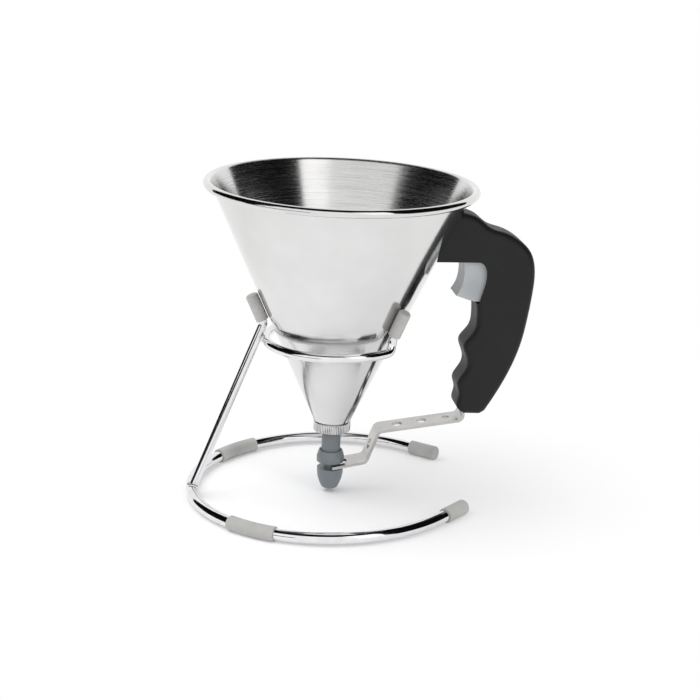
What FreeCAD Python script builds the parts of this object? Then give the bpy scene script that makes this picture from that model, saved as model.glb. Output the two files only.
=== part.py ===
import FreeCAD, Part
import math
import os

# Piston funnel for runny batter, standing in its wire stand.
# The stand's own frame is the frame of the part: origin on the floor at the centre of
# the base ring, +Z up, +X towards the handle. The funnel leans a little towards its
# handle, so its pieces are drawn about an upright axis and leaned when they are written.
# Heights of funnel pieces are measured from the floor along the funnel's axis.

V = FreeCAD.Vector

# Stand: base ring
base_wire_d = 6.5
base_ring_r = 78.3
base_arc_end = 46.5
base_tail = 20.5
grip_wall = 0.9
grip_fit = 0.03
foot_flat = 0.25
sleeve_azimuth = 129.0
sleeve_span = 21.0
end_cap_length = 17.5
end_cap_floor = 1.4
end_cap_edge = 1.0

# Stand: upright, collar and prongs
stand_wire_d = 5.0
collar_r = 39.9
collar_z = 90.8
weld_gap = 0.05
prong_azimuth = 47.5
prong_bend_start = 56.0
upright_knee_room = 2.0
upright_bend_clear = 0.05
prong_cap_wall = 1.0
prong_cap_floor = 1.6
prong_cap_length = 15.5
prong_cap_top = 115.3
prong_cap_edge = 1.1
cone_seat_gap = 0.3

# Funnel: cone and rolled rim
lean_deg = 1.85
rim_height = 176.7
bead_r = 2.2
cone_wall = 0.8
curl_end = -135.0
cone_top_r = 71.3
cone_bottom_r = 10.45
cone_bottom = 43.1

# Funnel: threaded outlet, guide bush and knurled nut
thread_r = 8.0
thread_fit = 0.05
spigot_top = 45.0
bush_flange = 1.25
bush_wall = 1.05
bush_top = 42.9
nut_r = 10.45
nut_top = 42.4
nut_height = 5.5
nut_floor = 1.4
nut_hole_gap = 0.55
nut_edge = 0.4
knurl_count = 60
knurl_depth = 0.35

# Piston: hollow tube, seal and nozzle tip
tube_r = 5.35
tube_bore_r = 3.4
tube_top = 46.0
tube_run_fit = 0.08
tube_edge = 1.2
tube_crown = 1.0
port_r = 2.5
port_height = 37.3
port_azimuth = -142.0
port_count = 3
seal_section_r = 0.62
seal_height = 42.2
seal_room = 0.05
seal_proud = 0.02
socket_fit = 0.03
tip_bottom = 2.3
tip_bottom_r = 4.7
tip_edge = 1.4
tip_flare = 0.35
tip_flare_height = 1.5
tip_bulge = 0.75
outlet_r = 2.5
tip_top_r = 7.4
groove_low = 14.3
groove_high = 18.3
groove_core_r = 3.6
cup_r = 7.8
cup_shoulder = 21.2
cup_top = 24.8
cup_mouth_r = 6.7
cup_recess_gap = 0.6
cup_recess = 1.9
socket_floor = 19.6

# Lever: one bent and pierced steel strip with a fork at its free end
strip_t = 1.6
strip_width = 15.0
fork_reach = 0.3
fork_clear = 0.5
fork_root = 9.4
fork_leadin = 3.0
fork_tip_width = 0.8
fork_slope = 10.8
riser_foot = 19.5
riser_slope = 70.5
riser_head_z = 37.5
arm_slope = 8.2
arm_end = 75.4
heel = (73.3, 49.4)
push_arm_top = (84.5, 117.2)
strip_bend_r = 3.6
hole_r = 3.0
last_hole_r = 2.0
hole_first = 37.4
hole_pitch = 13.9
riser_hole_drop = 0.58
hub_r = 3.2
hub_height = 56.0

# Handle: two moulded half shells on a welded bracket
handle_thick = 22.0
handle_wall = 2.2
handle_edge_r = 4.0
cone_cut_gap = 0.1
handle_inroad = 12.0
exit_front = 2.4
exit_back = 7.5
exit_height = 4.0
exit_clear = 0.4
mouth_reach = 8.0
arm_under = 137.2
pin_r = 1.5
pin_run_fit = 0.06
pin_seat_fit = 0.02
pin_half_length = 10.0
pin_end_gap = 0.2
pin_boss_r = 3.4
pin_boss_height = 1.0
boss_root = 0.1
screw_r = 1.5
screw_head_r = 2.8
screw_head_h = 2.0
screw_sink = 2.6
screw_clear = 0.15
screw_tip = 6.0
screw_end_gap = 0.5
drive_r = 1.1
drive_depth = 1.2
screw_boss_r = 3.3
grip_screws = ((99.0, 116.0), (88.0, 70.0))
bracket_screw_edge = 5.5
bracket_screw_drop = 0.5
bracket_t = 2.0
bracket_length = 16.36
bracket_low = 144.0
bracket_high = 156.0
bracket_clear = 0.5
bracket_room = 4.0
pad_t = 1.2
pad_half_width = 7.0
pad_over = 2.0

# Trigger: a hollow finger plate on its own pin, with its return spring
trigger_pivot = (80.0, 140.0)
trigger_half = 8.4
trigger_wall = 1.6
trigger_front_wall = 2.0
trigger_toe_inset = (4.16, 1.2)
trigger_step_gap = 1.2
trigger_step_rise = 1.5
trigger_boss_r = 3.5
trigger_gap = 0.5
push_gap = 0.3
spring_wire_d = 0.9
spring_r = 2.9
spring_turns = 4
spring_pitch = 1.3
spring_leg = 11.0
spring_front_leg = 4.0
spring_start = 0.47

# Sizes that follow from the ones above
grip_r = base_wire_d / 2 + grip_wall
base_z = grip_r - foot_flat
stand_wire_r = stand_wire_d / 2
prong_cap_r = stand_wire_r + prong_cap_wall
cone_slope = (cone_top_r - cone_bottom_r) / (rim_height - cone_bottom)
cone_tilt = math.atan(cone_slope)
cone_inner_step = cone_wall / math.cos(cone_tilt)
rim_r = cone_top_r + (bead_r - cone_wall) / math.cos(cone_tilt)
nut_low = nut_top - nut_height
bush_low = nut_low + nut_floor
spigot_low = bush_low + bush_flange
bush_bore_r = tube_r + tube_run_fit
bush_r = bush_bore_r + bush_wall
handle_half = handle_thick / 2
cavity_half = handle_half - handle_wall
screw_seat = handle_half - screw_sink - screw_head_h
bracket_mid = (bracket_low + bracket_high) / 2
bracket_end = cone_bottom_r + cone_slope * (bracket_mid - cone_bottom) + bracket_length
bracket_screw = (bracket_end - bracket_screw_edge, bracket_mid - bracket_screw_drop)
screws = (bracket_screw,) + grip_screws
big = 400.0


def cone_r(height):
    """Outer radius of the cone at a height along its axis."""
    return cone_bottom_r + cone_slope * (height - cone_bottom)


def leaned(shape):
    """A copy of a funnel piece, leaned the way the funnel sits in its stand."""
    copy = shape.copy()
    copy.rotate(V(0, 0, 0), V(0, 1, 0), lean_deg)
    return copy


def leaned_point(point):
    """A point of the funnel's own upright frame, moved to the stand's frame."""
    return FreeCAD.Rotation(V(0, 1, 0), lean_deg).multVec(point)


def save(name, shape):
    """Write one node, after a look at whether its solids are sound."""
    whole = shape if shape.ShapeType == "Solid" else shape.removeSplitter()
    solids = whole.Solids
    sound = all(solid.isValid() and solid.Volume > 0 for solid in solids)
    volume = round(sum(solid.Volume for solid in solids), 1)
    print(name, len(solids), "solids", volume, "mm3", "sound" if sound else "BROKEN")
    out = solids[0] if len(solids) == 1 else Part.makeCompound(solids)
    out.exportStep(os.path.join("parts", name + ".step"))


def point_xz(pair, y=0.0):
    """A point of the side view, given as distance from the axis and height."""
    return V(pair[0], y, pair[1])


def polar(radius, degrees, z=0.0):
    """A point at a radius and an azimuth."""
    return V(radius * math.cos(math.radians(degrees)), radius * math.sin(math.radians(degrees)), z)


def line(a, b):
    """A straight edge."""
    return Part.LineSegment(a, b).toShape()


def arc_at_corner(start, corner, end):
    """The arc that leaves start and reaches end along the two legs of a corner."""
    chord_mid = (start + end) * 0.5
    to_corner = corner - chord_mid
    half = (end - start).Length / 2
    turn = 2 * math.atan2(to_corner.Length, half)
    middle = chord_mid + to_corner.normalize() * (half * math.tan(turn / 4))
    return Part.Arc(start, middle, end).toShape()


def rounded_path(points, radii):
    """Straight edges through points, with an arc of the given radius at each inner point."""
    edges = []
    here = points[0]
    for index in range(1, len(points) - 1):
        corner = points[index]
        into = (corner - points[index - 1]).normalize()
        away = (points[index + 1] - corner).normalize()
        reach = radii[index - 1] * math.tan(into.getAngle(away) / 2)
        start = corner - into * reach
        end = corner + away * reach
        edges.append(line(here, start))
        edges.append(arc_at_corner(start, corner, end))
        here = end
    edges.append(line(here, points[-1]))
    return edges


def two_arcs(start, heading, end, arrival):
    """Two tangent arcs in space, from a point and heading to another point and heading."""
    span = end - start
    both = heading + arrival
    a = 2 * (heading.dot(arrival) - 1)
    b = -2 * span.dot(both)
    c = span.dot(span)
    reach = -c / b if abs(a) < 1e-9 else (-b - math.sqrt(b * b - 4 * a * c)) / (2 * a)
    first = start + heading * reach
    second = end - arrival * reach
    middle = (first + second) * 0.5
    return [arc_at_corner(start, first, middle), arc_at_corner(middle, second, end)]


def wire_rod(edges, radius, start, heading):
    """A round rod swept along a path of tangent edges."""
    section = Part.Wire([Part.makeCircle(radius, start, heading)])
    return Part.Wire(Part.__sortEdges__(edges)).makePipeShell([section], True, False)


def turned(outline):
    """A solid of revolution about the Z axis, from its outline edges in the side view."""
    return Part.Face(Part.Wire(outline)).revolve(V(0, 0, 0), V(0, 0, 1), 360)


def outline_of(pairs):
    """Straight outline edges through side view points, closed."""
    corners = [point_xz(pair) for pair in pairs]
    return [line(corners[i], corners[(i + 1) % len(corners)]) for i in range(len(corners))]


def slab(edges, half_width):
    """A flat solid: a closed side view outline, thick by the same amount each way."""
    face = Part.Face(Part.Wire(edges))
    face.translate(V(0, -half_width, 0))
    return face.extrude(V(0, 2 * half_width, 0))


def rod_y(pair, radius, low, high):
    """A round bar across the funnel, from one y to another."""
    return Part.makeCylinder(radius, high - low, point_xz(pair, low), V(0, 1, 0))


def smooth(pairs):
    """One smooth edge through side view points."""
    curve = Part.BSplineCurve()
    curve.interpolate([point_xz(pair) for pair in pairs])
    return curve.toShape()


# Stand

def base_ring():
    """The open base ring, with a straight tail at each side of its gap."""
    start = polar(base_ring_r, base_arc_end, base_z)
    end = polar(base_ring_r, -base_arc_end, base_z)
    back = V(-base_ring_r, 0, base_z)
    heading = polar(1, base_arc_end - 90)
    tail_start = start + heading * base_tail
    tail_end = end + V(heading.x, -heading.y, 0) * base_tail
    quarter = (base_arc_end + 180) / 2
    left = polar(base_ring_r, quarter, base_z)
    right = polar(base_ring_r, -quarter, base_z)
    edges = [line(tail_start, start)]
    edges.append(Part.Arc(start, left, back).toShape())
    edges.append(Part.Arc(back, right, end).toShape())
    edges.append(line(end, tail_end))
    return wire_rod(edges, base_wire_d / 2, tail_start, heading), tail_start, heading


def flat_footed(shape):
    """The shape with what reaches below the floor taken off."""
    return shape.cut(Part.makeBox(big, big, big, V(-big / 2, -big / 2, -big)))


def foot_sleeve(azimuth):
    """A soft sleeve on the base ring, flat where it meets the floor."""
    centre = V(base_ring_r, 0, base_z)
    outer = Part.Face(Part.Wire([Part.makeCircle(grip_r, centre, V(0, 1, 0))]))
    inner = Part.Face(Part.Wire([Part.makeCircle(base_wire_d / 2 + grip_fit, centre, V(0, 1, 0))]))
    sleeve = outer.cut(inner).revolve(V(0, 0, 0), V(0, 0, 1), sleeve_span)
    sleeve.rotate(V(0, 0, 0), V(0, 0, 1), azimuth - sleeve_span / 2)
    return flat_footed(sleeve)


def tube_cap(radius, bore_r, length, floor, edge_r):
    """A soft cap, standing on its mouth, with a rounded closed end."""
    cap = Part.makeCylinder(radius, length)
    end_rim = [edge for edge in cap.Edges if edge.BoundBox.ZMin > length - edge_r]
    cap = cap.makeFillet(edge_r, end_rim)
    return cap.cut(Part.makeCylinder(bore_r, length - floor))


def aimed(shape, mouth, heading):
    """A shape drawn up the Z axis, moved to start at mouth and run along heading."""
    copy = shape.copy()
    copy.Placement = FreeCAD.Placement(mouth, FreeCAD.Rotation(V(0, 0, 1), heading))
    return copy


def end_cap(tail, heading):
    """The cap on one end of the base ring."""
    cap = tube_cap(grip_r, base_wire_d / 2 + grip_fit, end_cap_length, end_cap_floor, end_cap_edge)
    mouth = tail - heading * (end_cap_length - end_cap_floor - grip_fit)
    return flat_footed(aimed(cap, mouth, heading))


def prong_line(azimuth):
    """Where a prong leans on the cone: the centre of its cap's end, and its heading."""
    offset = (prong_cap_r + cone_seat_gap) / math.cos(cone_tilt)
    high = polar(cone_r(prong_cap_top) + offset, azimuth, prong_cap_top)
    heading = polar(math.sin(cone_tilt), azimuth, math.cos(cone_tilt))
    return leaned_point(high), leaned_point(heading)


def prong_cap(azimuth):
    """The soft cap on one prong."""
    top, heading = prong_line(azimuth)
    bore = stand_wire_r + grip_fit
    cap = tube_cap(prong_cap_r, bore, prong_cap_length, prong_cap_floor, prong_cap_edge)
    return aimed(cap, top - heading * prong_cap_length, heading)


def prong_tip(azimuth):
    """The end of the wire inside a prong's cap."""
    top, heading = prong_line(azimuth)
    return top - heading * (prong_cap_floor + grip_fit)


def upright_line():
    """The upright's foot, its knee just below the left prong's cap, and its heading between them."""
    foot = V(-base_ring_r, 0, base_z)
    heading = prong_line(180)[1]
    mouth = prong_tip(180) - heading * (prong_cap_length - prong_cap_floor - grip_fit)
    knee = mouth - heading * upright_knee_room
    return foot, knee, (knee - foot).normalize()


def collar_centre():
    """The middle of the collar, placed so that its wire lies against the upright."""
    foot, knee, rise = upright_line()
    beside = foot.x + rise.x * (collar_z - foot.z) / rise.z
    return V(beside + (stand_wire_d + weld_gap) / rise.z + collar_r, 0, collar_z)


def collar_ring():
    """The collar and its two front prongs, one bent wire that is open at the handle side."""
    centre = collar_centre()
    edges = []
    for side in (-1, 1):
        tip = prong_tip(side * prong_azimuth)
        heading = prong_line(side * prong_azimuth)[1]
        foot = tip - heading * (prong_cap_length - prong_cap_floor)
        start = centre + polar(collar_r, side * prong_bend_start)
        along = polar(1, side * (prong_bend_start - 90))
        edges += two_arcs(start, along, foot, heading)
        edges.append(line(foot, tip))
        quarter = centre + polar(collar_r, side * (180 + prong_bend_start) / 2)
        edges.append(Part.Arc(centre - V(collar_r, 0, 0), quarter, start).toShape())
    tip = prong_tip(prong_azimuth)
    return wire_rod(edges, stand_wire_r, tip, prong_line(prong_azimuth)[1])


def upright(ring):
    """The upright: from the back of the base ring, past the collar, to the third prong."""
    foot, knee, rise = upright_line()
    heading = prong_line(180)[1]
    bend_r = (upright_knee_room - upright_bend_clear) / math.tan(rise.getAngle(heading) / 2)
    edges = rounded_path([foot, knee, prong_tip(180)], [bend_r])
    return wire_rod(edges, stand_wire_r, foot, rise).cut(ring)


# Funnel

def cone():
    """The spun cone, its rim rolled outwards in one smooth curl."""
    start = 180 - math.degrees(cone_tilt)
    middle = (start + curl_end) / 2
    inner_r = bead_r - cone_wall

    def on_curl(radius, degrees):
        angle = math.radians(degrees)
        return V(rim_r + radius * math.cos(angle), 0, rim_height + radius * math.sin(angle))

    inner = [on_curl(inner_r, degrees) for degrees in (start, middle, curl_end)]
    outer = [on_curl(bead_r, degrees) for degrees in (curl_end, middle, start)]
    foot_out = V(cone_bottom_r, 0, cone_bottom)
    foot_in = V(cone_bottom_r - cone_inner_step, 0, cone_bottom)
    return turned([line(foot_out, inner[0]), Part.Arc(*inner).toShape(), line(inner[2], outer[0]),
                   Part.Arc(*outer).toShape(), line(outer[2], foot_in), line(foot_in, foot_out)])


def outlet_spigot():
    """The threaded outlet, welded into the foot of the cone."""
    bore = bush_r + thread_fit
    low_seat = cone_r(cone_bottom) - cone_inner_step - thread_fit
    high_seat = cone_r(spigot_top) - cone_inner_step - thread_fit
    return turned(outline_of(((bore, spigot_low), (thread_r, spigot_low), (thread_r, cone_bottom),
                              (low_seat, cone_bottom), (high_seat, spigot_top),
                              (bore, bush_top + thread_fit))))


def guide_bush():
    """The soft bush that the piston tube runs in, held up by the nut."""
    return turned(outline_of(((bush_bore_r, bush_low), (thread_r - thread_fit, bush_low),
                              (thread_r - thread_fit, spigot_low), (bush_r, spigot_low),
                              (bush_r, bush_top), (bush_bore_r, bush_top))))


def knurled_nut():
    """The round nut, with straight knurling and a hole that the tube passes."""
    hole = tube_r + nut_hole_gap
    bore = thread_r + thread_fit
    body = turned(outline_of(((hole, nut_low), (nut_r - nut_edge, nut_low), (nut_r, nut_low + nut_edge),
                              (nut_r, nut_top - nut_edge), (nut_r - nut_edge, nut_top), (bore, nut_top),
                              (bore, bush_low), (hole, bush_low))))
    corners = []
    for step in range(knurl_count):
        angle = 360.0 * step / knurl_count
        corners.append(polar(nut_r, angle, nut_low))
        corners.append(polar(nut_r - knurl_depth, angle + 180.0 / knurl_count, nut_low))
    corners.append(corners[0])
    star = Part.Face(Part.makePolygon(corners)).extrude(V(0, 0, nut_height))
    return body.common(star)


# Piston

def piston_tube():
    """The hollow piston: closed on top, open below, with ports that the bush covers at rest."""
    bore_top = seal_height - seal_section_r - tube_crown
    body = turned(outline_of(((0, bore_top), (tube_bore_r, bore_top), (tube_bore_r, socket_floor),
                              (tube_r, socket_floor), (tube_r, tube_top - tube_edge),
                              (tube_r - tube_edge, tube_top), (0, tube_top))))
    for index in range(port_count):
        azimuth = port_azimuth + index * 360.0 / port_count
        drill = Part.makeCylinder(port_r, 2 * tube_r, V(0, 0, port_height), polar(1, azimuth))
        body = body.cut(drill)
    groove_r = tube_r - 2 * seal_section_r
    beyond = tube_r + seal_section_r
    low, high = seal_height - seal_section_r - seal_room, seal_height + seal_section_r + seal_room
    groove = turned(outline_of(((groove_r, low), (beyond, low), (beyond, high), (groove_r, high))))
    return body.cut(groove)


def piston_seal():
    """The sealing ring near the top of the tube."""
    return Part.makeTorus(tube_r - seal_section_r + seal_proud, seal_section_r, V(0, 0, seal_height))


def nozzle_tip():
    """The nozzle: a cup on the tube, a groove for the lever's fork, and the tapered outlet."""
    socket_r = tube_r + socket_fit
    mouth_r = tube_r + cup_recess_gap
    corner = V(tip_bottom_r, 0, tip_bottom)
    shoulder = V(tip_top_r, 0, groove_low)
    bulge = V((tip_top_r + tip_bottom_r) / 2 + tip_bulge, 0, (groove_low + tip_bottom) / 2)
    flare = V(tip_bottom_r + tip_flare, 0, tip_bottom + tip_flare_height)
    inner = V(tip_bottom_r - tip_edge, 0, tip_bottom)
    outer = corner + (flare - corner).normalize() * tip_edge
    outline = [line(V(outlet_r, 0, tip_bottom), inner), arc_at_corner(inner, corner, outer),
               line(outer, flare), Part.Arc(flare, bulge, shoulder).toShape()]
    upper = ((tip_top_r, groove_low), (groove_core_r, groove_low), (groove_core_r, groove_high),
             (cup_r, groove_high), (cup_r, cup_shoulder), (cup_mouth_r, cup_top), (mouth_r, cup_top),
             (mouth_r, cup_top - cup_recess), (socket_r, cup_top - cup_recess), (socket_r, socket_floor),
             (outlet_r, socket_floor), (outlet_r, tip_bottom))
    for low, high in zip(upper, upper[1:]):
        outline.append(line(point_xz(low), point_xz(high)))
    return turned(outline)


# Lever

def lever_corners():
    """The corners of the strip's middle line, from the fork's tips to the push arm's top."""
    fork_rise = math.tan(math.radians(fork_slope))
    foot_z = (groove_low + groove_high) / 2 + (riser_foot - tip_top_r / 2) * fork_rise
    tip_z = foot_z - (riser_foot - fork_reach) * fork_rise
    head_x = riser_foot + (riser_head_z - foot_z) / math.tan(math.radians(riser_slope))
    end_z = riser_head_z + (arm_end - head_x) * math.tan(math.radians(arm_slope))
    return [(fork_reach, tip_z), (riser_foot, foot_z), (head_x, riser_head_z), (arm_end, end_z),
            heel, push_arm_top]


def strip_side(corners, shift):
    """The strip's middle line moved sideways by half its thickness, with its bend radii."""
    headings = [(corners[i + 1] - corners[i]).normalize() for i in range(len(corners) - 1)]
    normals = [V(-h.z, 0, h.x) for h in headings]
    moved = [corners[0] + normals[0] * shift]
    radii = []
    for index in range(1, len(headings)):
        before, after = normals[index - 1], normals[index]
        moved.append(corners[index] + (before + after) * (shift / (1 + before.dot(after))))
        turn = headings[index - 1].x * headings[index].z - headings[index - 1].z * headings[index].x
        radii.append(strip_bend_r - shift * math.copysign(1, turn))
    moved.append(corners[-1] + normals[-1] * shift)
    return moved, radii


def along_strip(corners, leg, distance_from_axis):
    """A point of one leg of the strip, found by its distance from the funnel's axis."""
    a, b = corners[leg], corners[leg + 1]
    share = (distance_from_axis - a.x) / (b.x - a.x)
    return a + (b - a) * share, (b - a).normalize()


def fork_slot(corners):
    """What is cut from the strip's free end: a round-ended slot with a flared mouth."""
    half = groove_core_r + fork_clear
    centre_x = fork_root - half
    low = corners[0].z - 2 * strip_t
    height = corners[1].z + 2 * strip_t - low
    slot = Part.makeBox(centre_x + big, 2 * half, height, V(-big, -half, low))
    slot = slot.fuse(Part.makeCylinder(half, height, V(centre_x, 0, low)))
    flare = strip_width / 2 - fork_tip_width
    past = 1.0
    mouth = [V(fork_reach - past, -flare - past, low), V(fork_reach - past, flare + past, low),
             V(fork_reach + fork_leadin, half, low), V(fork_reach + fork_leadin, -half, low)]
    return slot.fuse(Part.Face(Part.makePolygon(mouth + mouth[:1])).extrude(V(0, 0, height)))


def strip_drill(place, heading, radius):
    """A drill square to a leg of the strip."""
    normal = V(-heading.z, 0, heading.x)
    return Part.makeCylinder(radius, 4 * strip_t, place - normal * 2 * strip_t, normal)


def lever_strip():
    """The strip: fork, riser, long arm, heel and push arm."""
    corners = [point_xz(pair) for pair in lever_corners()]
    near, near_radii = strip_side(corners, strip_t / 2)
    far, far_radii = strip_side(corners, -strip_t / 2)
    edges = rounded_path(near, near_radii) + [line(near[-1], far[-1])]
    edges += rounded_path(far[::-1], far_radii[::-1]) + [line(far[0], near[0])]
    strip = slab(edges, strip_width / 2)
    drills = []
    for index, radius in enumerate((hole_r, hole_r, last_hole_r)):
        place, heading = along_strip(corners, 2, hole_first + index * hole_pitch)
        drills.append(strip_drill(place, heading, radius))
    climb = (corners[2] - corners[1]).normalize()
    riser_mid = (corners[1] + corners[2]) * 0.5 - climb * riser_hole_drop
    drills.append(strip_drill(riser_mid, climb, hole_r))
    return strip.cut(fork_slot(corners)).cut(Part.makeCompound(drills))


def lever_pivot():
    """The lever's pivot, in the hub on the back of the push arm."""
    low, high = V(heel[0], 0, heel[1]), V(push_arm_top[0], 0, push_arm_top[1])
    heading = (high - low).normalize()
    foot = low + heading * ((hub_height - low.z) / heading.z)
    outward = V(heading.z, 0, -heading.x)
    centre = foot + outward * (strip_t / 2 + hub_r)
    return (centre.x, centre.z)


def lever_hub():
    """The tube on the strip that turns on the lever's pin."""
    tube = rod_y(lever_pivot(), hub_r, -strip_width / 2, strip_width / 2)
    return tube.cut(rod_y(lever_pivot(), pin_r + pin_run_fit, -strip_width, strip_width))


# Trigger

trigger_front = ((68.4, 136.7), (69.0, 129.5), (67.6, 122.0), (65.1, 117.7))
trigger_foot = ((69.0, 116.4), (73.0, 115.1), (78.0, 114.4))


def push_face(height):
    """How far from the axis the push arm's front face is, at a height."""
    slope = (push_arm_top[0] - heel[0]) / (push_arm_top[1] - heel[1])
    middle = heel[0] + slope * (height - heel[1])
    return middle - strip_t / 2 * math.hypot(1, slope)


def trigger_hollow(toe_z):
    """The room inside the finger plate, open at the back and on top."""
    inner_front = tuple((x + trigger_front_wall, z) for x, z in trigger_front[:3])
    low = (trigger_front[3][0] + trigger_toe_inset[0], trigger_front[3][1] + trigger_toe_inset[1])
    floor_z = toe_z + trigger_wall
    toe = (trigger_foot[-1][0], floor_z)
    top = (inner_front[0][0], big)
    edges = [smooth(inner_front + (low,)), line(point_xz(low), point_xz(toe)),
             line(point_xz(toe), V(big, 0, floor_z)), line(V(big, 0, floor_z), V(big, 0, big)),
             line(V(big, 0, big), point_xz(top)), line(point_xz(top), point_xz(inner_front[0]))]
    return slab(edges, trigger_half - trigger_wall)


def trigger():
    """The finger plate: a hollow moulding with two cheeks on the pin."""
    toe_z = trigger_foot[-1][1]
    rear = push_face(toe_z) - push_gap
    px, pz = trigger_pivot
    step_z = push_arm_top[1] + trigger_step_gap
    step_top = step_z + trigger_step_rise
    front, back = px - trigger_boss_r, px + trigger_boss_r
    outline = [smooth(trigger_front), smooth(trigger_front[-1:] + trigger_foot),
               line(point_xz(trigger_foot[-1]), V(rear, 0, toe_z)),
               line(V(rear, 0, toe_z), V(rear, 0, step_z)),
               line(V(rear, 0, step_z), V(back, 0, step_top)),
               line(V(back, 0, step_top), V(back, 0, pz)),
               Part.Arc(V(back, 0, pz), V(px, 0, pz + trigger_boss_r), V(front, 0, pz)).toShape(),
               line(V(front, 0, pz), V(front, 0, trigger_front[0][1])),
               line(V(front, 0, trigger_front[0][1]), point_xz(trigger_front[0]))]
    body = slab(outline, trigger_half).cut(trigger_hollow(toe_z))
    return body.cut(rod_y(trigger_pivot, pin_r + pin_run_fit, -handle_half, handle_half))


def trigger_spring():
    """The return spring: a few turns round the pin, with one leg on the trigger's front wall."""
    px, pz = trigger_pivot
    half_length = spring_turns * spring_pitch / 2

    def on_coil(turns):
        angle = 2 * math.pi * turns
        place = V(px + spring_r * math.cos(angle), -half_length + spring_pitch * turns,
                  pz + spring_r * math.sin(angle))
        heading = V(-2 * math.pi * spring_r * math.sin(angle), spring_pitch,
                    2 * math.pi * spring_r * math.cos(angle)).normalize()
        return place, heading

    first, first_heading = on_coil(spring_start)
    last, last_heading = on_coil(spring_start + spring_turns)
    free_end = first - first_heading * spring_front_leg
    edges = [line(free_end, first)]
    steps = spring_turns * 3
    for index in range(steps):
        a, a_heading = on_coil(spring_start + spring_turns * index / steps)
        b, b_heading = on_coil(spring_start + spring_turns * (index + 1) / steps)
        edges += two_arcs(a, a_heading, b, b_heading)
    edges.append(line(last, last + last_heading * spring_leg))
    return wire_rod(edges, spring_wire_d / 2, free_end, first_heading)


# Handle

grip_back = ((56.0, 164.6), (69.9, 163.6), (75.7, 161.3), (82.3, 156.3), (90.4, 153.6), (98.5, 149.6),
             (105.6, 142.8), (108.7, 133.0), (108.6, 121.0), (106.8, 106.0), (104.2, 91.5),
             (98.2, 74.0), (91.4, 60.4), (85.6, 50.6))
grip_heel = (82.6, 48.8)
grip_toe = (73.6, 49.0)
grip_front = ((71.2, 50.6), (69.3, 54.4), (70.2, 60.5), (68.9, 66.0), (73.3, 75.0), (73.5, 81.0),
              (71.2, 89.0), (76.2, 96.6), (77.6, 104.5), (76.8, 113.3))
notch = ((78.2, 113.4), (80.6, 122.0), (81.6, 128.8), (80.4, 134.4), (77.2, 137.2))


def handle_outline():
    """The side view outline of the handle; its end at the cone is trimmed later."""
    edges = [smooth(grip_back), line(point_xz(grip_back[-1]), point_xz(grip_heel)),
             line(point_xz(grip_heel), point_xz(grip_toe)), line(point_xz(grip_toe), point_xz(grip_front[0])),
             smooth(grip_front), line(point_xz(grip_front[-1]), point_xz(notch[0])),
             smooth(notch)]
    under = V(grip_back[0][0] - handle_inroad, 0, arm_under)
    edges.append(line(point_xz(notch[-1]), under))
    edges.append(line(under, point_xz(grip_back[0])))
    return edges


def inset(pairs, distance):
    """Side view points moved square to their smooth curve, to its right hand side."""
    curve = Part.BSplineCurve()
    curve.interpolate([point_xz(pair) for pair in pairs])
    moved = []
    for pair in pairs:
        heading = curve.tangent(curve.parameter(point_xz(pair)))[0]
        moved.append((pair[0] + heading.z * distance, pair[1] - heading.x * distance))
    return moved


def cavity_outline():
    """The inside of the handle in the side view, one wall in from its outline."""
    back = inset(grip_back, handle_wall)
    front = inset(grip_front, handle_wall)
    ceiling = arm_under + handle_wall
    knee = (trigger_pivot[0] + trigger_boss_r, ceiling)
    corner = (back[0][0] - handle_inroad, ceiling)
    return [smooth(back), line(point_xz(back[-1]), point_xz(front[0])), smooth(front),
            line(point_xz(front[-1]), point_xz(knee)), line(point_xz(knee), point_xz(corner)),
            line(point_xz(corner), point_xz(back[0]))]


def cone_space():
    """The space that the cone takes up, and a little more, for trimming what meets it."""
    low, high = cone_bottom, rim_height - 2 * bead_r
    gap = cone_cut_gap
    return turned(outline_of(((0, low), (cone_r(low) + gap, low), (cone_r(high) + gap, high),
                              (cone_r(high) + gap, big), (0, big))))


def bracket():
    """The plate that carries the handle, with a curved pad welded to the cone."""
    low_root = (cone_r(bracket_low) + cone_cut_gap, bracket_low)
    high_root = (cone_r(bracket_high) + cone_cut_gap, bracket_high)
    plate = slab(outline_of((low_root, (bracket_end, bracket_low), (bracket_end, bracket_high),
                             high_root)), bracket_t / 2)
    inner, outer = cone_cut_gap, cone_cut_gap + pad_t
    low, high = bracket_low - pad_over, bracket_high + pad_over
    skin = turned(outline_of(((cone_r(low) + inner, low), (cone_r(low) + outer, low),
                              (cone_r(high) + outer, high), (cone_r(high) + inner, high))))
    pad = skin.common(Part.makeBox(big, 2 * pad_half_width, big, V(0, -pad_half_width, 0)))
    hole = rod_y(screws[0], screw_r + screw_clear, -handle_half, handle_half)
    return plate.fuse(pad).cut(hole)


def handle_room():
    """All that is open inside the handle: the cavity, the trigger's mouth and the lever's exit."""
    px, pz = trigger_pivot
    mouth_front = px - trigger_boss_r - trigger_gap
    mouth = outline_of(((mouth_front, notch[0][1]), (px + mouth_reach, notch[0][1]),
                        (px + mouth_reach, pz), (mouth_front, pz)))
    exit_low, exit_high = heel[0] - exit_front, heel[0] + exit_back
    way_out = outline_of(((exit_low, 0), (exit_high, 0), (exit_high, heel[1] + exit_height),
                          (exit_low, heel[1] + exit_height)))
    return [slab(cavity_outline(), cavity_half), slab(mouth, cavity_half),
            slab(way_out, strip_width / 2 + exit_clear)]


def bracket_slot():
    """The slot between the half shells that the bracket's plate fills."""
    room = bracket_t / 2 + screw_clear
    height = bracket_high - bracket_low + 2 * bracket_room
    return Part.makeBox(bracket_end + bracket_clear, 2 * room, height,
                        V(0, -room, bracket_low - bracket_room))


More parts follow.
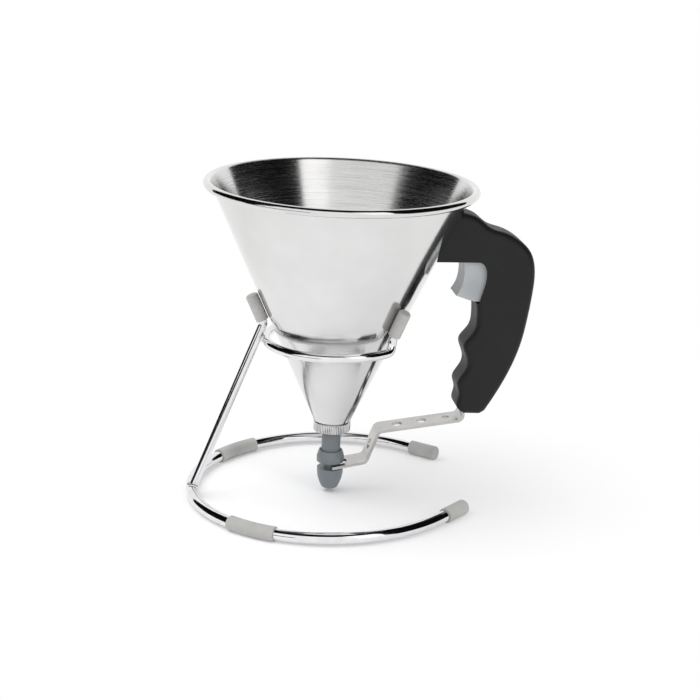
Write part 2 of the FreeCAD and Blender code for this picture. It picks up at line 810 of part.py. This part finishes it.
def handle_body():
    """Both half shells in one, hollow, with bosses for the screws and pins."""
    block = slab(handle_outline(), handle_half)
    rounded = [edge for edge in block.Edges
               if edge.BoundBox.YLength < 1e-6 and edge.BoundBox.ZMin < heel[1] + handle_edge_r]
    shell = block.makeFillet(handle_edge_r, rounded)
    for room in handle_room():
        shell = shell.cut(room)
    for place in screws:
        shell = shell.fuse(rod_y(place, screw_boss_r, -cavity_half, cavity_half))
    for side in (-1, 1):
        inner, outer = sorted((side * (cavity_half - pin_boss_height), side * (cavity_half + boss_root)))
        shell = shell.fuse(rod_y(lever_pivot(), pin_boss_r, inner, outer))
    seat = pin_half_length + pin_end_gap
    for place in (lever_pivot(), trigger_pivot):
        shell = shell.cut(rod_y(place, pin_r + pin_seat_fit, -seat, seat))
    shell = shell.cut(bracket_slot())
    for place in screws:
        shell = shell.cut(rod_y(place, screw_r + screw_clear, -screw_tip, handle_half))
        shell = shell.cut(rod_y(place, screw_head_r + screw_clear, screw_seat, handle_half))
    return shell.cut(cone_space())


def half_of(shape, side):
    """One side of a shape that is split down the middle."""
    low = -big if side < 0 else 0.0
    return shape.common(Part.makeBox(2 * big, big, 2 * big, V(-big, low, -big)))


def handle_screw(place):
    """One shell screw, in from the back."""
    head_top = screw_seat + screw_head_h
    shank = rod_y(place, screw_r, -screw_tip + screw_end_gap, screw_seat)
    head = rod_y(place, screw_head_r, screw_seat, head_top)
    drive = rod_y(place, drive_r, head_top - drive_depth, head_top)
    return shank.fuse(head).cut(drive)


def cross_pin(place):
    """A steel pin across the handle."""
    return rod_y(place, pin_r, -pin_half_length, pin_half_length)


def build_stand():
    """All pieces of the stand."""
    ring, tail, heading = base_ring()
    save("base_ring", ring)
    save("foot_sleeve_back", foot_sleeve(sleeve_azimuth))
    save("foot_sleeve_front", foot_sleeve(-sleeve_azimuth))
    save("base_end_cap_back", end_cap(tail, heading))
    save("base_end_cap_front", end_cap(V(tail.x, -tail.y, tail.z), V(heading.x, -heading.y, 0)))
    save("stand_upright", upright(ring))
    save("collar_ring", collar_ring())
    for name, azimuth in (("left", 180), ("back", prong_azimuth), ("front", -prong_azimuth)):
        save("prong_cap_" + name, prong_cap(azimuth))


def build_funnel():
    """All pieces that lift out of the stand."""
    save("funnel_cone", leaned(cone()))
    save("outlet_spigot", leaned(outlet_spigot()))
    save("guide_bush", leaned(guide_bush()))
    save("knurled_nut", leaned(knurled_nut()))
    save("piston_tube", leaned(piston_tube()))
    save("piston_seal", leaned(piston_seal()))
    save("nozzle_tip", leaned(nozzle_tip()))
    save("lever_strip", leaned(lever_strip()))
    save("lever_hub", leaned(lever_hub()))
    save("lever_pin", leaned(cross_pin(lever_pivot())))
    save("trigger", leaned(trigger()))
    save("trigger_pin", leaned(cross_pin(trigger_pivot)))
    save("trigger_spring", leaned(trigger_spring()))
    save("handle_bracket", leaned(bracket()))
    shell = handle_body()
    save("handle_front_shell", leaned(half_of(shell, -1)))
    save("handle_back_shell", leaned(half_of(shell, 1)))
    save("handle_screws", leaned(Part.makeCompound([handle_screw(place) for place in screws])))


os.makedirs("parts", exist_ok=True)
build_stand()
build_funnel()
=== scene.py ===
import bpy
import bmesh
import math
from mathutils import Matrix, Vector


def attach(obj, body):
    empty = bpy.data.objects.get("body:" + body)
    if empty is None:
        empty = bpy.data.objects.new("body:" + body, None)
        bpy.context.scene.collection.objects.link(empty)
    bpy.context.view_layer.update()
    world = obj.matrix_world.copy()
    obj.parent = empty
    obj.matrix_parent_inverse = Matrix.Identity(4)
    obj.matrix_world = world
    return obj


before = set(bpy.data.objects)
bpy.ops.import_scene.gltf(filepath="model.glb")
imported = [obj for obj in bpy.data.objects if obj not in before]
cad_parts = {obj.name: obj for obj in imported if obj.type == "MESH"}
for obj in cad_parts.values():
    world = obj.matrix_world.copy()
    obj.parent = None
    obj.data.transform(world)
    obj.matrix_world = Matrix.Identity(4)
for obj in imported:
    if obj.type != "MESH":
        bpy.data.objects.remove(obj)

bl_info = {
    "name": "Piston funnel on a wire stand",
    "version": (1, 0, 0),
    "blender": (4, 5, 0),
    "location": "3D View > Sidebar > Funnel",
    "description": "Finishes and small details for a batter funnel with its wire stand",
    "category": "Object",
}

FUNNEL_LEAN = math.radians(1.85)
LOOKED_AT = (0.0, 0.0, 0.09)
FLOOR_FADE = (0.02, 0.26)
FILL_STRENGTH = 0.81
# Name, place, width, height, watts
LAMPS = (("lamp above", (-0.62, 0.06, 1.3), 1.2, 1.2, 9.6), ("lamp front", (0.9, -1.2, 0.9), 0.56, 0.9, 3.8))
# Name, turn from straight in front towards +X, rise, width, height (degrees), distance, brightness
CARDS = (("card right", 78.0, 42.0, 82.0, 112.0, 2.2, 0.004),
         ("card left", -108.0, 38.0, 66.0, 96.0, 2.2, 0.004),
         ("card behind", -31.0, 28.0, 84.0, 40.0, 2.2, 1.06),
         ("card band", 24.5, 34.0, 23.0, 60.0, 2.1, 1.3),
         ("card above", 0.0, 70.0, 84.0, 40.0, 2.2, 0.01),
         ("card low", -60.0, -1.0, 58.0, 11.0, 0.9, 0.03))
KNURL_RIDGES = 60
# Painted shade on the knurl: how strongly the colour darkens between its ridges, and how dark it gets there
KNURL_PAINTED_SHADE_CONTRAST = 0.3
KNURL_GROOVE_PAINTED_SHADE = 0.5
TURNED_LOW_SHADE = 0.88
STEEL_WIRES = ("base_ring", "stand_upright", "collar_ring")
# A weld's centre on the lower wire's axis, its direction away from it, that wire's direction and radius
WELDS = ({"name": "weld_foot", "centre": (-0.0783, 0.0, 0.0039), "axis": (0.3925, 0.0, 0.9198),
          "lies_on": (0.0, 1.0, 0.0), "radius": 0.0025, "under_r": 0.00325},
         {"name": "weld_collar", "centre": (-0.03573, 0.0, 0.0908), "axis": (-0.9198, 0.0, 0.3925),
          "lies_on": (0.0, 1.0, 0.0), "radius": 0.0012, "under_r": 0.0025})
SOFT_GRIPS = ("foot_sleeve_back", "foot_sleeve_front", "base_end_cap_back", "base_end_cap_front",
              "prong_cap_left", "prong_cap_back", "prong_cap_front")


# Sizes and colours that a user would change

def colour(name, description, value):
    """A colour setting."""
    return bpy.props.FloatVectorProperty(name=name, description=description, default=value,
                                         subtype="COLOR", size=3, min=0.0, max=1.0)


def length(name, description, value):
    """A length setting, in metres."""
    return bpy.props.FloatProperty(name=name, description=description, default=value,
                                   unit="LENGTH", subtype="DISTANCE", precision=5)


def share(name, description, value):
    """A setting from none to all."""
    return bpy.props.FloatProperty(name=name, description=description, default=value,
                                   subtype="FACTOR", min=0.0, max=1.0)


class MetalSettings(bpy.types.PropertyGroup):
    """Colours and polish of the steel pieces."""

    wire: colour("Wire", "Plated wire of the stand", (0.80, 0.80, 0.81))
    cone: colour("Cone", "Spun steel of the cone", (0.76, 0.755, 0.75))
    strip: colour("Strip", "Satin steel of the lever", (0.525, 0.515, 0.50))
    turned: colour("Turned", "Turned steel of the nut and pins", (0.70, 0.70, 0.70))
    wire_polish: share("Wire roughness", "Roughness of the plated wire", 0.06)
    outside_polish: share("Outside roughness", "Roughness of the cone's polished outside", 0.11)
    inside_polish: share("Inside roughness", "Roughness of the cone's brushed inside", 0.22)
    brush_length: length("Brush spread", "How far brush lines are drawn out; less is longer", 0.0006)
    brush_pitch: length("Brush pitch", "Distance between brush lines inside the cone", 0.00035)


class PlasticSettings(bpy.types.PropertyGroup):
    """Colours and grain of the moulded and soft pieces."""

    handle: colour("Handle", "Moulded handle shells", (0.0085, 0.0085, 0.0095))
    trigger: colour("Trigger", "Moulded finger plate", (0.445, 0.465, 0.48))
    nozzle: colour("Nozzle", "Nozzle, tube and bush", (0.175, 0.200, 0.212))
    grip: colour("Grips", "Soft caps and sleeves of the stand", (0.44, 0.435, 0.42))
    seal: colour("Seal", "Sealing ring", (0.02, 0.02, 0.02))
    grain: length("Grain", "Size of the moulded handle's grain", 0.00045)


class DetailSettings(bpy.types.PropertyGroup):
    """Sizes of the small added details."""

    weld_r: length("Weld bead", "Radius of a weld bead", 0.0011)
    edge_r: length("Edge", "Rounding of the punched strip's edges", 0.00025)


class StageSettings(bpy.types.PropertyGroup):
    """The camera and the light."""

    place: bpy.props.FloatVectorProperty(name="Camera", description="Where the camera stands",
                                         default=(-0.1119, -0.8757, 0.3544), unit="LENGTH",
                                         subtype="TRANSLATION", size=3)
    turn: bpy.props.FloatProperty(name="Turn", description="Camera's turn away from straight on",
                                  default=math.radians(8.0), unit="ROTATION", subtype="ANGLE")
    tilt: bpy.props.FloatProperty(name="Tilt", description="Camera's look downwards",
                                  default=math.radians(17.04), unit="ROTATION", subtype="ANGLE")
    roll: bpy.props.FloatProperty(name="Roll", description="Camera's roll",
                                  default=math.radians(0.7), unit="ROTATION", subtype="ANGLE")
    lens: bpy.props.FloatProperty(name="Lens", description="Focal length", default=85.24,
                                  unit="CAMERA", subtype="DISTANCE_CAMERA")
    floor: colour("Floor", "Colour of the floor", (0.97, 0.97, 0.98))


# Wiring of materials

def new_material(name, **even):
    """A material and its shader. Values that are the same all over sit on the shader's sockets."""
    material = bpy.data.materials.new(name)
    material.use_nodes = True
    shader = material.node_tree.nodes["Principled BSDF"]
    for socket, value in even.items():
        value = (*value, 1.0) if socket == "Base_Color" else value
        shader.inputs[socket.replace("_", " ")].default_value = value
    return material, shader


def add_node(tree, kind, inputs=(), **settings):
    """A node with its settings, and its inputs linked or set in order."""
    node = tree.nodes.new(kind)
    for setting, value in settings.items():
        setattr(node, setting, value)
    for place, value in dict(inputs).items():
        if isinstance(value, bpy.types.NodeSocket):
            tree.links.new(value, node.inputs[place])
        elif value is not None:
            node.inputs[place].default_value = value
    return node


def math_node(tree, operation, first, second=None):
    """The result of a sum on one or two numbers."""
    return add_node(tree, "ShaderNodeMath", {0: first, 1: second}, operation=operation).outputs[0]


def piece_space(tree):
    """Places on the piece, which stay with it when it moves."""
    return add_node(tree, "ShaderNodeTexCoord").outputs["Object"]


def stretched(tree, places, scale):
    """Places with each axis scaled by itself."""
    return add_node(tree, "ShaderNodeMapping", {"Vector": places, "Scale": scale}).outputs["Vector"]


def noise(tree, places, scale, detail=3.0, rough=0.55):
    """Even noise from 0 to 1."""
    inputs = {"Vector": places, "Scale": scale, "Detail": detail, "Roughness": rough}
    return add_node(tree, "ShaderNodeTexNoise", inputs).outputs["Fac"]


def spread(tree, value, low, high, start=0.3, end=0.7):
    """Noise carried from its usual span to a span of values."""
    inputs = {"Value": value, "From Min": start, "From Max": end, "To Min": low, "To Max": high}
    return add_node(tree, "ShaderNodeMapRange", inputs, clamp=True).outputs["Result"]


def tinted(tree, value, shade, low, high):
    """A colour that gets darker and lighter with a value."""
    dark = (*[part * low for part in shade], 1.0)
    light = (*[min(1.0, part * high) for part in shade], 1.0)
    inputs = {0: spread(tree, value, 0.0, 1.0), 6: dark, 7: light}
    return add_node(tree, "ShaderNodeMix", inputs, data_type="RGBA").outputs[2]


def relief(tree, height, depth, under=None):
    """A bump from a height of 0 to 1, this many metres deep."""
    inputs = {"Height": height, "Distance": depth, "Strength": 1.0, "Normal": under}
    return add_node(tree, "ShaderNodeBump", inputs).outputs["Normal"]


def round_the_axis(tree, places):
    """Angle, radius and height of places about the funnel's leaned axis."""
    upright = add_node(tree, "ShaderNodeVectorRotate", {"Vector": places, "Angle": -FUNNEL_LEAN},
                       rotation_type="Y_AXIS").outputs[0]
    parts = add_node(tree, "ShaderNodeSeparateXYZ", {0: upright}).outputs
    angle = math_node(tree, "ARCTAN2", parts["Y"], parts["X"])
    squares = math_node(tree, "ADD", math_node(tree, "MULTIPLY", parts["X"], parts["X"]),
                        math_node(tree, "MULTIPLY", parts["Y"], parts["Y"]))
    return angle, math_node(tree, "SQRT", squares), parts["Z"]


def dress(node, material):
    """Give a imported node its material."""
    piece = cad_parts[node]
    piece.data.materials.clear()
    piece.data.materials.append(material)
    return piece


def soften(piece, radius):
    """Round the piece's sharp edges a little, as tumbling does."""
    rounding = piece.modifiers.new("edges", "BEVEL")
    rounding.width = radius
    rounding.segments = 2
    rounding.limit_method = "ANGLE"
    rounding.angle_limit = math.radians(50.0)


def link(shader, **sockets):
    """Link varying values to a shader."""
    tree = shader.id_data
    for socket, value in sockets.items():
        tree.links.new(value, shader.inputs[socket.replace("_", " ")])


# Finishes

def plated_wire(metal):
    """Bright plating on drawn wire: near mirror, with faint drawing lines and dull specks."""
    material, shader = new_material("plated wire", Metallic=1.0, Base_Color=metal.wire)
    tree = shader.id_data
    places = piece_space(tree)
    cloudy = noise(tree, places, 140.0)
    fine = noise(tree, places, 1400.0, 2.0)
    waves = noise(tree, places, 55.0, 1.0)
    link(shader, Base_Color=tinted(tree, cloudy, metal.wire, 0.94, 1.04),
         Roughness=spread(tree, fine, metal.wire_polish * 0.6, metal.wire_polish * 2.0),
         Normal=relief(tree, fine, 0.0000015, relief(tree, waves, 0.00006)))
    return material


def spun_steel(metal):
    """The cone: mirror polish outside, lathe brushing inside, told apart by the way a face looks."""
    material, shader = new_material("spun steel", Metallic=1.0, Base_Color=metal.cone, Anisotropic=0.85,
                                    Anisotropic_Rotation=0.25)
    tree = shader.id_data
    places = piece_space(tree)
    angle, radius, height = round_the_axis(tree, places)
    parts = add_node(tree, "ShaderNodeSeparateXYZ", {0: places}).outputs
    normal = add_node(tree, "ShaderNodeSeparateXYZ",
                      {0: add_node(tree, "ShaderNodeTexCoord").outputs["Normal"]}).outputs
    outward = math_node(tree, "ADD", math_node(tree, "MULTIPLY", parts["X"], normal["X"]),
                        math_node(tree, "MULTIPLY", parts["Y"], normal["Y"]))
    inside = math_node(tree, "LESS_THAN", outward, 0.0)
    rings = add_node(tree, "ShaderNodeCombineXYZ",
                     {0: math_node(tree, "MULTIPLY", angle, metal.brush_length), 1: radius,
                      2: height}).outputs[0]
    brushing = noise(tree, rings, 1.0 / metal.brush_pitch, 4.0, 0.7)
    clouds = noise(tree, places, 45.0, 2.0)
    inner = spread(tree, brushing, metal.inside_polish * 0.6, metal.inside_polish * 1.5)
    outer = spread(tree, brushing, metal.outside_polish * 0.7, metal.outside_polish * 1.3)
    roughness = math_node(tree, "ADD", math_node(tree, "MULTIPLY", inner, inside),
                          math_node(tree, "MULTIPLY", outer, math_node(tree, "SUBTRACT", 1.0, inside)))
    tangent = add_node(tree, "ShaderNodeTangent", direction_type="RADIAL", axis="Z").outputs[0]
    lines = math_node(tree, "MULTIPLY", brushing, inside)
    shade = math_node(tree, "ADD", math_node(tree, "MULTIPLY", clouds, 0.5),
                      math_node(tree, "MULTIPLY", math_node(tree, "ADD", lines, 0.25), 0.5))
    link(shader, Base_Color=tinted(tree, shade, metal.cone, 0.93, 1.04), Roughness=roughness,
         Tangent=tangent, Normal=relief(tree, lines, 0.000005, relief(tree, clouds, 0.00002)))
    return material


def satin_strip(metal):
    """Punched strip with its mill grain along its length."""
    material, shader = new_material("satin strip", Metallic=1.0, Base_Color=metal.strip)
    tree = shader.id_data
    places = piece_space(tree)
    grain = noise(tree, stretched(tree, places, (1.0, 26.0, 1.0)), 110.0, 4.0, 0.65)
    clouds = noise(tree, places, 90.0, 3.0)
    link(shader, Base_Color=tinted(tree, clouds, metal.strip, 0.9, 1.08),
         Roughness=spread(tree, grain, 0.20, 0.38),
         Normal=relief(tree, grain, 0.00001))
    return material


def turned_steel(metal, ridges=0):
    """Turned steel, with tool lines round the funnel's axis and, on a knurl, painted shade between its
    ridges.
    """
    material, shader = new_material("knurled steel" if ridges else "turned steel", Metallic=1.0)
    tree = shader.id_data
    places = piece_space(tree)
    angle, _, height = round_the_axis(tree, places)
    lines = noise(tree, add_node(tree, "ShaderNodeCombineXYZ", {2: height}).outputs[0], 4200.0, 2.0)
    shade = noise(tree, places, 260.0, 3.0)
    low = TURNED_LOW_SHADE
    if ridges:
        # Painted shade: a wave round the axis darkens the colour between the knurl's ridges
        wave = math_node(tree, "COSINE", math_node(tree, "MULTIPLY", angle, float(ridges)))
        shade = math_node(tree, "ADD", math_node(tree, "MULTIPLY", wave, KNURL_PAINTED_SHADE_CONTRAST), shade)
        low = KNURL_GROOVE_PAINTED_SHADE
    link(shader, Base_Color=tinted(tree, shade, metal.turned, low, 1.08),
         Roughness=spread(tree, lines, 0.14, 0.30), Normal=relief(tree, lines, 0.000006))
    return material


def moulded(name, shade, rough, grain, depth, **even):
    """Moulded plastic: a sparked grain, slight flow marks and rubbed patches."""
    material, shader = new_material(name, Base_Color=shade, **even)
    tree = shader.id_data
    places = piece_space(tree)
    cells = noise(tree, places, 1.0 / grain, 3.0, 0.6)
    flow = noise(tree, places, 38.0, 3.0)
    rubbed = noise(tree, places, 95.0, 4.0, 0.7)
    link(shader, Base_Color=tinted(tree, flow, shade, 0.86, 1.14),
         Roughness=math_node(tree, "ADD", spread(tree, rubbed, rough - 0.07, rough + 0.06),
                             spread(tree, cells, -0.03, 0.03)),
         Normal=relief(tree, cells, depth))
    return material


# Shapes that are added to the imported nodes

def mesh_piece(name, build, material, body):
    """A new smooth mesh piece that rides on a body."""
    mesh = bpy.data.meshes.new(name)
    form = bmesh.new()
    build(form)
    bmesh.ops.recalc_face_normals(form, faces=form.faces)
    for face in form.faces:
        face.smooth = True
    form.to_mesh(mesh)
    form.free()
    mesh.materials.append(material)
    piece = bpy.data.objects.new(name, mesh)
    bpy.context.scene.collection.objects.link(piece)
    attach(piece, body)
    return piece


def closed_skin(form, loops):
    """Faces between loops of points, in a run that closes on itself."""
    rows = [[form.verts.new(point) for point in loop] for loop in loops]
    count = len(rows[0])
    for low, high in [*zip(rows, rows[1:]), (rows[-1], rows[0])]:
        for index in range(count):
            after = (index + 1) % count
            form.faces.new((low[index], low[after], high[after], high[index]))


def bead(form, weld, bead_r, ripples=26, sides=10):
    """A rippled weld bead round a wire or a contact, lying on the round wire under it."""
    along, across = Vector(weld["axis"]).normalized(), Vector(weld["lies_on"])
    side = across.cross(along).normalized()
    loops = []
    steps = ripples * 4
    for step in range(steps):
        turn = 2 * math.pi * step / steps
        out = side * math.cos(turn) + across * math.sin(turn)
        swell = bead_r * (0.86 + 0.14 * abs(math.sin(turn * ripples / 2)))
        lift = math.sqrt(weld["under_r"] ** 2 - (weld["radius"] * math.cos(turn)) ** 2)
        middle = Vector(weld["centre"]) + out * weld["radius"] + along * lift
        loops.append([middle + out * (swell * math.cos(2 * math.pi * k / sides))
                      + along * (swell * math.sin(2 * math.pi * k / sides)) for k in range(sides)])
    closed_skin(form, loops)


# Operators

class FUNNEL_OT_wires(bpy.types.Operator):
    """Plate the wires of the stand and add their weld beads"""

    bl_idname = "funnel.wires"
    bl_label = "Stand wires"

    def execute(self, context):
        metal = context.scene.funnel_metal
        plating = plated_wire(metal)
        for node in STEEL_WIRES:
            dress(node, plating)
        bead_r = context.scene.funnel_details.weld_r
        for weld in WELDS:
            mesh_piece(weld["name"], lambda form: bead(form, weld, bead_r), plating, "stand")
        return {"FINISHED"}


class FUNNEL_OT_grips(bpy.types.Operator):
    """Finish the soft caps and sleeves of the stand"""

    bl_idname = "funnel.grips"
    bl_label = "Stand grips"

    def execute(self, context):
        plastic = context.scene.funnel_plastic
        soft = moulded("soft grip", plastic.grip, 0.52, 0.0005, 0.00001, IOR=1.45)
        for node in SOFT_GRIPS:
            dress(node, soft)
        return {"FINISHED"}


class FUNNEL_OT_cone(bpy.types.Operator):
    """Polish the cone outside and brush it inside"""

    bl_idname = "funnel.cone"
    bl_label = "Cone"

    def execute(self, context):
        dress("funnel_cone", spun_steel(context.scene.funnel_metal))
        return {"FINISHED"}


class FUNNEL_OT_outlet(bpy.types.Operator):
    """Finish the outlet, the knurled nut and the bush"""

    bl_idname = "funnel.outlet"
    bl_label = "Outlet and nut"

    def execute(self, context):
        plastic, metal = context.scene.funnel_plastic, context.scene.funnel_metal
        dress("outlet_spigot", turned_steel(metal))
        dress("knurled_nut", turned_steel(metal, KNURL_RIDGES))
        dress("guide_bush", moulded("bush plastic", plastic.nozzle, 0.4, 0.0006, 0.000006))
        return {"FINISHED"}


class FUNNEL_OT_nozzle(bpy.types.Operator):
    """Finish the hollow piston, its seal and the nozzle"""

    bl_idname = "funnel.nozzle"
    bl_label = "Piston and nozzle"

    def execute(self, context):
        plastic = context.scene.funnel_plastic
        body = moulded("nozzle plastic", plastic.nozzle, 0.36, 0.0005, 0.000006)
        dress("piston_tube", body)
        dress("nozzle_tip", body)
        dress("piston_seal", moulded("seal rubber", plastic.seal, 0.45, 0.0003, 0.000004))
        return {"FINISHED"}


class FUNNEL_OT_lever(bpy.types.Operator):
    """Finish the punched strip lever and its hub"""

    bl_idname = "funnel.lever"
    bl_label = "Lever"

    def execute(self, context):
        steel = satin_strip(context.scene.funnel_metal)
        for node in ("lever_strip", "lever_hub"):
            dress(node, steel)
        soften(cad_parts["lever_strip"], context.scene.funnel_details.edge_r)
        return {"FINISHED"}


class FUNNEL_OT_trigger(bpy.types.Operator):
    """Finish the finger plate and its spring"""

    bl_idname = "funnel.trigger"
    bl_label = "Trigger"

    def execute(self, context):
        plastic = context.scene.funnel_plastic
        plate = moulded("trigger plastic", plastic.trigger, 0.42, 0.0004, 0.000008)
        dress("trigger", plate)
        dress("trigger_spring", plated_wire(context.scene.funnel_metal))
        return {"FINISHED"}


class FUNNEL_OT_handle(bpy.types.Operator):
    """Finish the handle's shells, screws, pins and bracket"""

    bl_idname = "funnel.handle"
    bl_label = "Handle"

    def execute(self, context):
        plastic = context.scene.funnel_plastic
        metal = context.scene.funnel_metal
        shell = moulded("handle plastic", plastic.handle, 0.50, plastic.grain, 0.00003,
                        Specular_IOR_Level=0.3)
        for node in ("handle_front_shell", "handle_back_shell"):
            dress(node, shell)
        steel = turned_steel(metal)
        for node in ("handle_screws", "lever_pin", "trigger_pin"):
            dress(node, steel)
        dress("handle_bracket", satin_strip(metal))
        return {"FINISHED"}


def flat_panel(name, centre, facing, width, height):
    """A flat panel that looks from its centre towards a point."""
    mesh = bpy.data.meshes.new(name)
    half_w, half_h = width / 2, height / 2
    mesh.from_pydata([(-half_w, -half_h, 0), (half_w, -half_h, 0), (half_w, half_h, 0), (-half_w, half_h, 0)],
                     [], [(0, 1, 2, 3)])
    panel = bpy.data.objects.new(name, mesh)
    panel.location = centre
    panel.rotation_mode = "QUATERNION"
    panel.rotation_quaternion = (Vector(facing) - Vector(centre)).to_track_quat("Z", "Y")
    bpy.context.scene.collection.objects.link(panel)
    return panel


def add_lamp(name, place, facing, size, power):
    """A soft lamp that looks towards a point and that polish doesn't show."""
    data = bpy.data.lights.new(name, "AREA")
    data.shape = "RECTANGLE"
    data.size, data.size_y = size
    data.energy = power
    lamp = bpy.data.objects.new(name, data)
    lamp.location = place
    lamp.rotation_mode = "QUATERNION"
    lamp.rotation_quaternion = (Vector(facing) - Vector(place)).to_track_quat("-Z", "Y")
    lamp.visible_glossy = False
    bpy.context.scene.collection.objects.link(lamp)
    return lamp


def seen_or_mirrored(tree):
    """1 for rays from the camera, off metal or through glass, 0 for the rays that light things."""
    path = add_node(tree, "ShaderNodeLightPath").outputs
    seen = math_node(tree, "MAXIMUM", path["Is Camera Ray"], path["Is Glossy Ray"])
    return math_node(tree, "MAXIMUM", seen, path["Is Transmission Ray"])


class FUNNEL_OT_stage(bpy.types.Operator):
    """Set up the pale floor, the soft light and the camera"""

    bl_idname = "funnel.stage"
    bl_label = "Stage"

    def execute(self, context):
        settings = context.scene.funnel_stage
        self.world(context.scene)
        self.floor(settings)
        self.lamps()
        self.cards()
        self.camera(context.scene, settings)
        context.scene.view_settings.view_transform = "Standard"
        return {"FINISHED"}

    def world(self, scene):
        """White where it is seen or mirrored, and a gentle fill for the rest."""
        world = bpy.data.worlds.new("studio")
        world.use_nodes = True
        tree = world.node_tree
        back = tree.nodes["Background"]
        back.inputs["Color"].default_value = (1.0, 1.0, 1.0, 1.0)
        tree.links.new(spread(tree, seen_or_mirrored(tree), FILL_STRENGTH, 1.0, 0.0, 1.0),
                       back.inputs["Strength"])
        scene.world = world

    def floor(self, settings):
        """A pale floor that fades into the white behind it and keeps the shadow."""
        floor = flat_panel("floor", (0.0, 0.0, 0.0), (0.0, 0.0, 1.0), 30.0, 30.0)
        material, shader = new_material("floor", Base_Color=settings.floor, Roughness=0.6,
                                        Specular_IOR_Level=0.2)
        tree = shader.id_data
        distance = add_node(tree, "ShaderNodeVectorMath", {0: piece_space(tree)}, operation="LENGTH")
        white = add_node(tree, "ShaderNodeEmission", {"Color": (1.0, 1.0, 1.0, 1.0), "Strength": 1.0})
        fade = spread(tree, distance.outputs["Value"], 0.0, 1.0, *FLOOR_FADE)
        far = math_node(tree, "MULTIPLY", fade, seen_or_mirrored(tree))
        mixed = add_node(tree, "ShaderNodeMixShader", {0: far, 1: shader.outputs[0], 2: white.outputs[0]})
        tree.links.new(mixed.outputs[0], tree.nodes["Material Output"].inputs["Surface"])
        floor.data.materials.append(material)

    def lamps(self):
        """A soft lamp at the upper left, and a weaker one from the right front."""
        for name, place, width, height, power in LAMPS:
            add_lamp(name, place, LOOKED_AT, (width, height), power)

    def cards(self):
        """Studio cards that only metal sees, so that its polish has something to show."""
        for name, turn, rise, width, height, distance, level in CARDS:
            material = bpy.data.materials.new(name)
            material.use_nodes = True
            tree = material.node_tree
            glow = add_node(tree, "ShaderNodeEmission", {"Color": (1.0, 1.0, 1.0, 1.0), "Strength": level})
            tree.links.new(glow.outputs[0], tree.nodes["Material Output"].inputs["Surface"])
            turn, rise = math.radians(turn), math.radians(rise)
            centre = Vector((math.sin(turn) * math.cos(rise), -math.cos(turn) * math.cos(rise),
                             math.sin(rise))) * distance
            card = flat_panel(name, centre + Vector(LOOKED_AT), LOOKED_AT,
                              2 * distance * math.tan(math.radians(width / 2)),
                              2 * distance * math.tan(math.radians(height / 2)))
            card.data.materials.append(material)
            card.visible_camera = False
            card.visible_diffuse = False
            card.visible_shadow = False
            card.visible_transmission = False

    def camera(self, scene, settings):
        """The camera at the photograph's angle."""
        data = bpy.data.cameras.new("camera")
        data.lens = settings.lens
        data.sensor_width = 36.0
        data.clip_start, data.clip_end = 0.01, 100.0
        turn = Matrix.Rotation(-settings.turn, 3, "Z")
        across = turn @ Vector((1.0, 0.0, 0.0))
        ahead = turn @ Vector((0.0, math.cos(settings.tilt), -math.sin(settings.tilt)))
        upward = across.cross(ahead)
        rolled = across * math.cos(settings.roll) + upward * math.sin(settings.roll)
        upright = rolled.cross(ahead)
        pose = Matrix((rolled, upright, -ahead)).transposed().to_4x4()
        pose.translation = Vector(settings.place)
        camera = bpy.data.objects.new("camera", data)
        camera.matrix_world = pose
        scene.collection.objects.link(camera)
        scene.camera = camera


class FUNNEL_PT_panel(bpy.types.Panel):
    """Lists the steps that finish the funnel"""

    bl_idname = "FUNNEL_PT_panel"
    bl_label = "Piston funnel"
    bl_space_type = "VIEW_3D"
    bl_region_type = "UI"
    bl_category = "Funnel"

    def draw(self, context):
        for group in ("funnel_metal", "funnel_plastic", "funnel_details", "funnel_stage"):
            settings = getattr(context.scene, group)
            box = self.layout.box()
            for name in settings.__annotations__:
                box.prop(settings, name)
        for step in STEPS:
            self.layout.operator(step.bl_idname)


STEPS = (FUNNEL_OT_wires, FUNNEL_OT_grips, FUNNEL_OT_cone, FUNNEL_OT_outlet, FUNNEL_OT_nozzle,
         FUNNEL_OT_lever, FUNNEL_OT_trigger, FUNNEL_OT_handle, FUNNEL_OT_stage)
GROUPS = {"funnel_metal": MetalSettings, "funnel_plastic": PlasticSettings,
          "funnel_details": DetailSettings, "funnel_stage": StageSettings}


def register():
    """Make the settings, the steps and the panel known to Blender."""
    for kind in (*GROUPS.values(), *STEPS, FUNNEL_PT_panel):
        bpy.utils.register_class(kind)
    for name, kind in GROUPS.items():
        setattr(bpy.types.Scene, name, bpy.props.PointerProperty(type=kind))


def unregister():
    """Take them away again."""
    for name in GROUPS:
        delattr(bpy.types.Scene, name)
    for kind in (FUNNEL_PT_panel, *reversed(STEPS), *reversed(GROUPS.values())):
        bpy.utils.unregister_class(kind)


def main():
    """Run every step in order."""
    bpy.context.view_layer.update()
    register()
    for step in STEPS:
        group, action = step.bl_idname.split(".")
        getattr(getattr(bpy.ops, group), action)()


if __name__ == "__main__":
    main()
